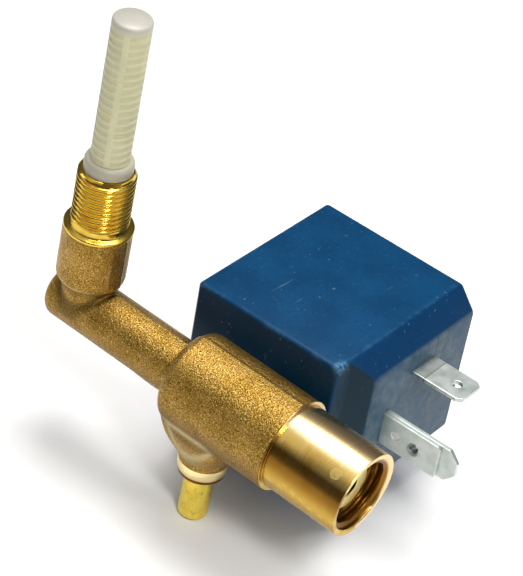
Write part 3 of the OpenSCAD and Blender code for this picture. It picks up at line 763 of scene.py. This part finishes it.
# ---- Tabs ----
# Two 6.3 by 0.8 mm tinned brass blades, stamped with bevelled tips and a latch hole. The upper
# lies level. The lower stands upright and is folded double, with the shorter layer in front.
TAB_WIDTH, TAB_THICK, TAB_EDGE, LATCH_R = 6.3, 0.8, 0.1, 0.87
ROOT, UPPER_END, LOWER_END, LAYER_LEN = STEP - 2.6, 29.3, 34.3, 11.6
UPPER_Y, UPPER_Z, LOWER_Z, BACK_Y, LAYER_Y = 29.85, 6.3, -1.95, 21.6, 20.8
LATCH_X, PIP_X, PIP_UP = 6.7, 3.0, 0.2    # on the lower tab, from the moulding's face
SHADE_SLANT, SHADE_DROP = 0.0367, 1.24    # the painted shade round the latch hole sits a little below it
tinned_brass, place = new_finish("tinned_brass")
brush = place.stretch(0.12, 1, 1).noise(3000, 3.0)
dull = place.noise(420, 4.0)
tone = dull.step(0.3, 0.7).mix((0.50, 0.55, 0.52), (0.68, 0.73, 0.70))
x, y, z = place.axes()
from_face, depth = x * 1000 - SEAT_X - RIGHT, y * 1000
on_upper = depth.step(25, 26)
# Painted shade: the upper tab is darker near its root at the moulding.
root = (1 - from_face.step(1.9, 2.1)) * on_upper
crease = (1 - abs(from_face - 2.1).step(0.05, 0.2)) * on_upper
tone = (root * 0.45).mix(tone, (0.26, 0.27, 0.25))
tone = (crease * 0.6).mix(tone, (0.12, 0.12, 0.11))
on_lower = 1 - depth.step(24, 25)
# Painted reflection: the lower tab is paler and bluer.
tone = (on_lower * 0.2).mix(tone, (0.78, 0.86, 0.84))
# Painted shade: a dark ring round the lower tab's latch hole.
height = z * 1000 - SEAT_Z + from_face * SHADE_SLANT + SHADE_DROP
hole_shade = 1 - hypotenuse(from_face - LATCH_X, height).step(0.95, 1.35)
hole_shade = hole_shade * on_lower * (dull.step(0.3, 0.6) * 0.6 + 0.4)
tone = (hole_shade * 0.8).mix(tone, (0.10, 0.10, 0.10))
# Painted highlight: a pale spot over the pip.
spot = (1 - hypotenuse(from_face - PIP_X, height - PIP_UP).step(0.8, 1.0)) * on_lower
tone = (spot * 0.6).mix(tone, (0.86, 0.88, 0.85))
coat(place, {"Metallic": 1.0}, [(brush, 0.14, 0.05)],
     Base_Color=tone, Roughness=brush * 0.16 + dull * 0.12 + 0.30)


def stamped(name, outline, holes):
    """A flat stamping on the XY plane, in mm, with round holes and softened edges."""
    curve = bpy.data.curves.new(name, "CURVE")
    curve.dimensions, curve.fill_mode = "2D", "BOTH"
    curve.extrude, curve.bevel_depth = TAB_THICK / 2 - TAB_EDGE, TAB_EDGE
    curve.bevel_resolution, curve.offset = 1, -TAB_EDGE
    circles = [[(cx + r * math.cos(a), cy + r * math.sin(a))
                for a in (2 * math.pi * i / 32 for i in range(32))] for cx, cy, r in holes]
    for loop in [outline] + circles:
        line = curve.splines.new("POLY")
        line.points.add(len(loop) - 1)
        for point, (px, py) in zip(line.points, loop):
            point.co = (px, py, 0, 1)
        line.use_cyclic_u = True
    blank = bpy.data.objects.new(name, curve)
    bpy.context.scene.collection.objects.link(blank)
    view = bpy.context.evaluated_depsgraph_get()
    mesh = bpy.data.meshes.new_from_object(blank.evaluated_get(view))
    bpy.data.objects.remove(blank)
    return mesh


def blade(length, tip, drop):
    """A tab's outline along +X from x = 0, centred on y = 0, with its corners cut off."""
    half = TAB_WIDTH / 2
    return [(0, -half), (length - tip, -half), (length, drop - half),
            (length, half - drop), (length - tip, half), (0, half)]


def joined(name, finish, *meshes):
    together = bmesh.new()
    for mesh in meshes:
        together.from_mesh(mesh)
    mesh = bpy.data.meshes.new(name)
    together.to_mesh(mesh)
    together.free()
    return link_up(name, mesh, finish)


upper = stamped("upper_blade", blade(UPPER_END - ROOT, 1.0, 0.7), [(26.4 - ROOT, 0, LATCH_R)])
upper.transform(Matrix.Translation((ROOT, UPPER_Y, UPPER_Z)))
upper = joined("upper_blade", tinned_brass, upper)
set_in_place(upper, "coil", ON_COIL, ["upper_tab"], sharp=20)

UPRIGHT = Matrix.Rotation(math.pi / 2, 4, "X")
back = stamped("lower_back", blade(LOWER_END - ROOT, 1.8, 1.9),
               [(RIGHT + LATCH_X - ROOT, 0, LATCH_R)])
back.transform(Matrix.Translation((ROOT, BACK_Y, LOWER_Z)) @ UPRIGHT)
edge = TAB_WIDTH / 2
layer = [(0, -edge), (LAYER_LEN, -edge), (LAYER_LEN, 2.6), (LAYER_LEN - 0.5, edge), (0, edge)]
front = stamped("lower_front", layer, [(LATCH_X, 0, LATCH_R + 0.06), (PIP_X, PIP_UP, 0.8)])
front.transform(Matrix.Translation((RIGHT, LAYER_Y, LOWER_Z)) @ UPRIGHT)
pip = lathe("lower_pip", [(0, 0), (0.7, 0), (0.78, 0.06), (0.78, 0.5), (0, 0.5)], 32)
pip.transform(Matrix.Translation((RIGHT + PIP_X, 20.45, LOWER_Z + PIP_UP))
              @ Matrix.Rotation(-math.pi / 2, 4, "X"))
lower = joined("lower_blade", tinned_brass, back, front, pip)
set_in_place(lower, "coil", ON_COIL, ["lower_tab"], sharp=20)


# ---- Core, stud, plunger and tubes ----
# A magnetic steel core closes the rear of a thin stainless guide tube, and its threaded stud
# carries the nut. Below it a steel plunger with a rubber face slides in the tube.
CORE_FRONT, STUD_END = 25.0, 51.0
ALONG_Y = (Matrix.Translation((SEAT_X * MM, 0, SEAT_Z * MM))
           @ Matrix.Rotation(-math.pi / 2, 4, "X"))


def metal(name, dark, light, rough, scale=1800):
    """A bare metal with faint machining lines along the coil's axis."""
    finish, place = new_finish(name)
    lines = place.stretch(0.1, 1, 0.1).noise(scale * 3, 2.0)
    shade = place.noise(scale / 3, 3.0)
    coat(place, {"Metallic": 1.0}, [(lines, 0.15, 0.03)],
         Base_Color=shade.step(0.3, 0.7).mix(dark, light), Roughness=lines * 0.15 + rough)
    return finish


def repaint(finish, *names):
    for name in names:
        nodes[name].data.materials.clear()
        nodes[name].data.materials.append(finish)


ground_steel = metal("ground_steel", (0.42, 0.42, 0.42), (0.56, 0.56, 0.56), 0.22)
profile = [(0, 25), (3.08, 25), (3.08, 26.25), (3.92, 26.25), (3.92, 25), (4.45, 25),
           (4.5, 25.05), (4.5, 38), (5, 38), (5, 43.3), (4.9, 43.4), (4, 43.4)]
profile += rows(4.0, 44.2, 50.4, 1.0) + [(3.5, STUD_END), (0, STUD_END)]
core = thread("core_and_stud", lathe("core_and_stud", profile, 96), ground_steel, Crest=4.0,
              Pitch=1.0, Depth=0.5, Low=43.6, High=50.9, Land=0.14)
set_in_place(core, "housing", ALONG_Y, ["fixed_core"])
repaint(ground_steel, "plunger")
repaint(metal("drawn_stainless", (0.50, 0.50, 0.49), (0.66, 0.66, 0.65), 0.20),
        "guide_tube", "tube_base")
repaint(metal("bare_copper", (0.60, 0.26, 0.13), (0.78, 0.40, 0.24), 0.24), "shading_ring")

black_rubber, place = new_finish("black_rubber")
mottle = place.noise(1500, 3.0)
coat(place, {"Specular IOR Level": 0.35}, [(mottle, 0.2, 0.04)],
     Base_Color=mottle.mix((0.012, 0.012, 0.012), (0.035, 0.035, 0.034)),
     Roughness=mottle * 0.2 + 0.5)
repaint(black_rubber, "plunger_seal", "base_seal")


# ---- Return spring ----
# Seven turns of stainless wire in the plunger's rear bore. They push it onto the seat, and
# close up as it lifts.
spring_wire = metal("spring_wire", (0.50, 0.50, 0.49), (0.66, 0.66, 0.65), 0.2, 3000)
tree, (_, turns, length, radius, gauge) = new_tree("spring", "Turns", "Length", "Radius", "Gauge")
spiral = turns.make("GeometryNodeCurveSpiral", {
    "Resolution": 36, "Rotations": turns, "Start Radius": radius, "End Radius": radius,
    "Height": length})
ring = gauge.make("GeometryNodeCurvePrimitiveCircle", {"Resolution": 12, "Radius": gauge * 0.5})
coils = spiral.make("GeometryNodeCurveToMesh", {"Curve": spiral, "Profile Curve": ring,
                                                "Fill Caps": True})
spring = grow("spring_coils", coils, spring_wire,
              {"Turns": 7, "Length": 9.9, "Radius": 1.65, "Gauge": 0.5})
spring.data.transform(Matrix.Translation((0, 0, 14.8)))
set_in_place(spring, "housing", ALONG_Y, ["return_spring"])
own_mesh(spring)


# ---- Winding, bobbin and yoke ----
# Inside the moulding: enamelled copper wire on a nylon bobbin, in a frame of mild steel strip
# with a plate across its rear and a thin steel sleeve at each end of the bore.
enamel, place = new_finish("enamelled_wire")
x, y, z = place.axes()
turns = (y * 15000).math("SINE", y * 15000)
coat(place, {"Coat Roughness": 0.15}, [(turns, 0.6, 0.1)],
     Base_Color=turns.step(-0.6, 0.6).mix((0.20, 0.05, 0.015), (0.55, 0.20, 0.06)),
     Metallic=turns * 0.1 + 0.7, Roughness=turns * 0.05 + 0.3)
repaint(enamel, "coil_winding", "upper_lead", "lower_lead")
repaint(metal("yoke_steel", (0.25, 0.26, 0.27), (0.38, 0.39, 0.40), 0.36, 900), "yoke_frame",
        "yoke_plate", "front_flux_sleeve", "rear_flux_sleeve")
filled_nylon, place = new_finish("filled_nylon")
fibres = place.noise(3000, 2.0)
coat(place, {"Specular IOR Level": 0.4}, [(fibres, 0.15, 0.03)],
     Base_Color=fibres.mix((0.05, 0.05, 0.05), (0.09, 0.09, 0.09)),
     Roughness=fibres * 0.2 + 0.4)
repaint(filled_nylon, "bobbin")


# ---- Washers and nut ----
# A zinc-plated flat washer, a split spring washer and a nut clamp the coil on the stud.
repaint(metal("zinc_plate", (0.50, 0.53, 0.56), (0.72, 0.74, 0.76), 0.16), "flat_washer",
        "coil_nut")
repaint(metal("oiled_spring_steel", (0.20, 0.20, 0.21), (0.32, 0.32, 0.33), 0.28),
        "spring_washer")
